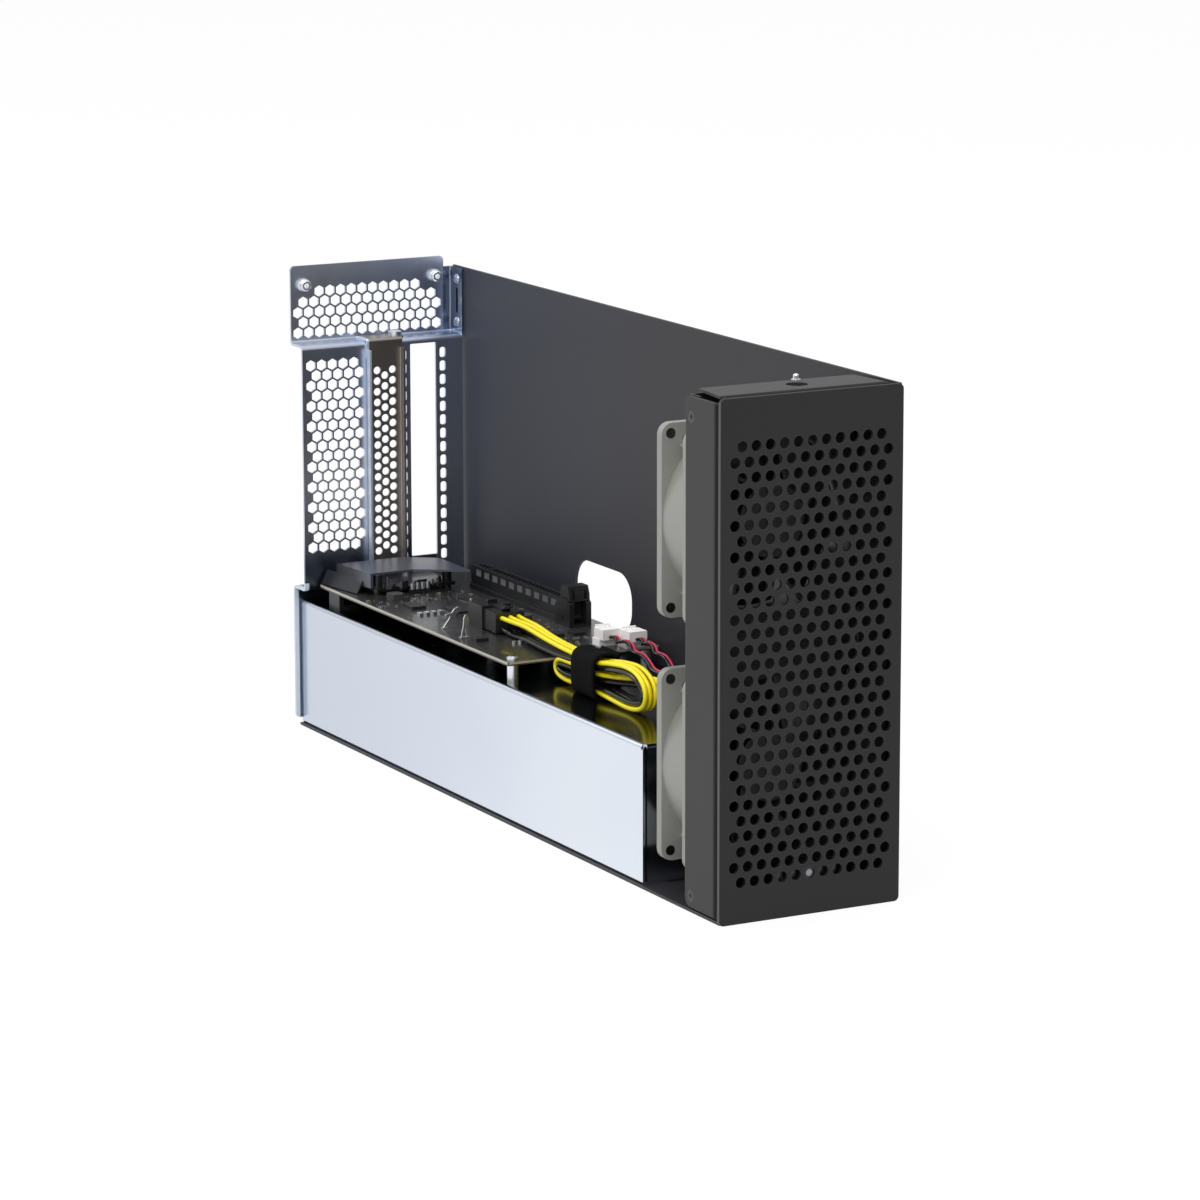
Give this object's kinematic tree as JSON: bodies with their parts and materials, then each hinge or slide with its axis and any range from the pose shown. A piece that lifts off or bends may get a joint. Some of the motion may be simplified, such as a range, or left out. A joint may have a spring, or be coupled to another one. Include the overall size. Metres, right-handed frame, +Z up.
{
  "type": "pcie expansion chassis",
  "caption": "Open sheet-metal expansion chassis for a double-width card, with a round-hole front grille, axial fans, carrier board, bright supply tray and vented rear panel.",
  "frame": {"origin": "middle of the whole box's bottom face, on the surface that the base rests on", "axes": "+Y runs from the front grille to the rear panel, +X from the open side to the far wall, +Z up"},
  "size_m": [0.085, 0.4036, 0.2175],
  "materials": {
    "chassis_body": "fine textured dark grey powder coat",
    "front_grille": "fine textured near-black powder coat",
    "front_frame": "fine textured dark grey powder coat",
    "frame_screws": "black oxide",
    "grille_nuts": "zinc plated",
    "cover_stud": "zinc plated",
    "led_lens": "clear moulded light pipe",
    "led_board": "green printed board",
    "fan_plate": "dark powder coat",
    "upper_fan_frame": "moulded grey glass-filled plastic",
    "upper_fan_rotor": "moulded black plastic",
    "lower_fan_frame": "moulded grey glass-filled plastic",
    "lower_fan_rotor": "moulded black plastic",
    "fan_screws": "black oxide",
    "rear_panel": "blue-bright zinc plated steel",
    "rear_rivets": "zinc plated",
    "cover_nuts": "zinc plated",
    "slot_cover": "dark nickel",
    "bracket_screw": "zinc plated",
    "tray": "bright zinc plated steel",
    "tray_screws": "zinc plated",
    "power_supply": "galvanised sheet case",
    "mains_inlet": "moulded black plastic",
    "inlet_pins": "bright blades",
    "carrier_board": "black solder mask",
    "board_spacers": "nickel plated",
    "board_screws": "zinc plated",
    "board_support": "black plastic",
    "slot_connector": "moulded black plastic",
    "slot_latch": "moulded black plastic",
    "module_board": "black solder mask",
    "module_link": "black plastic and spacers",
    "module_shield": "satin black sheet",
    "host_ports": "nickel plated shells",
    "power_header": "moulded black plastic",
    "power_plug": "moulded black plastic",
    "power_wires_yellow": "yellow PVC insulation",
    "power_wires_black": "black PVC insulation",
    "cable_strap": "black hook-and-loop tape",
    "fan_headers": "natural white nylon",
    "fan_plugs": "natural white nylon",
    "fan_leads_red": "red PVC insulation",
    "fan_leads_black": "black PVC insulation",
    "board_chips": "moulded black packages",
    "board_capacitors": "bright cans and ceramic bodies",
    "board_coils": "dark ferrite blocks",
    "board_clips": "bright tin plated spring strip"
  },
  "bodies": {
    "case": {"chassis_body": "chassis_body", "front_grille": "front_grille", "front_frame": "front_frame", "frame_screws": "frame_screws", "grille_nuts": "grille_nuts", "cover_stud": "cover_stud", "led_lens": "led_lens", "led_board": "led_board", "fan_plate": "fan_plate", "upper_fan_frame": "upper_fan_frame", "lower_fan_frame": "lower_fan_frame", "fan_screws": "fan_screws", "rear_panel": "rear_panel", "rear_rivets": "rear_rivets", "cover_nuts": "cover_nuts", "slot_cover": "slot_cover", "bracket_screw": "bracket_screw", "tray": "tray", "tray_screws": "tray_screws", "power_supply": "power_supply", "mains_inlet": "mains_inlet", "inlet_pins": "inlet_pins", "carrier_board": "carrier_board", "board_spacers": "board_spacers", "board_screws": "board_screws", "board_support": "board_support", "slot_connector": "slot_connector", "module_board": "module_board", "module_link": "module_link", "module_shield": "module_shield", "host_ports": "host_ports", "power_header": "power_header", "power_plug": "power_plug", "power_wires_yellow": "power_wires_yellow", "power_wires_black": "power_wires_black", "cable_strap": "cable_strap", "fan_headers": "fan_headers", "fan_plugs": "fan_plugs", "fan_leads_red": "fan_leads_red", "fan_leads_black": "fan_leads_black", "board_chips": "board_chips", "board_capacitors": "board_capacitors", "board_coils": "board_coils", "board_clips": "board_clips"},
    "upper_rotor": {"upper_fan_rotor": "upper_fan_rotor"},
    "lower_rotor": {"lower_fan_rotor": "lower_fan_rotor"},
    "latch": {"slot_latch": "slot_latch"}
  },
  "joints": [
    {"name": "upper_fan_spin", "type": "hinge", "parent": "case", "child": "upper_rotor", "pos_m": [0.0009, -0.1588, 0.1556], "axis": [0, -1, 0], "continuous": true},
    {"name": "lower_fan_spin", "type": "hinge", "parent": "case", "child": "lower_rotor", "pos_m": [0.0009, -0.1588, 0.0546], "axis": [0, -1, 0], "continuous": true},
    {"name": "latch_swing", "type": "hinge", "parent": "case", "child": "latch", "pos_m": [0.0258, 0.0483, 0.0727], "axis": [1, 0, 0], "range_deg": [0, 25]}
  ]
}
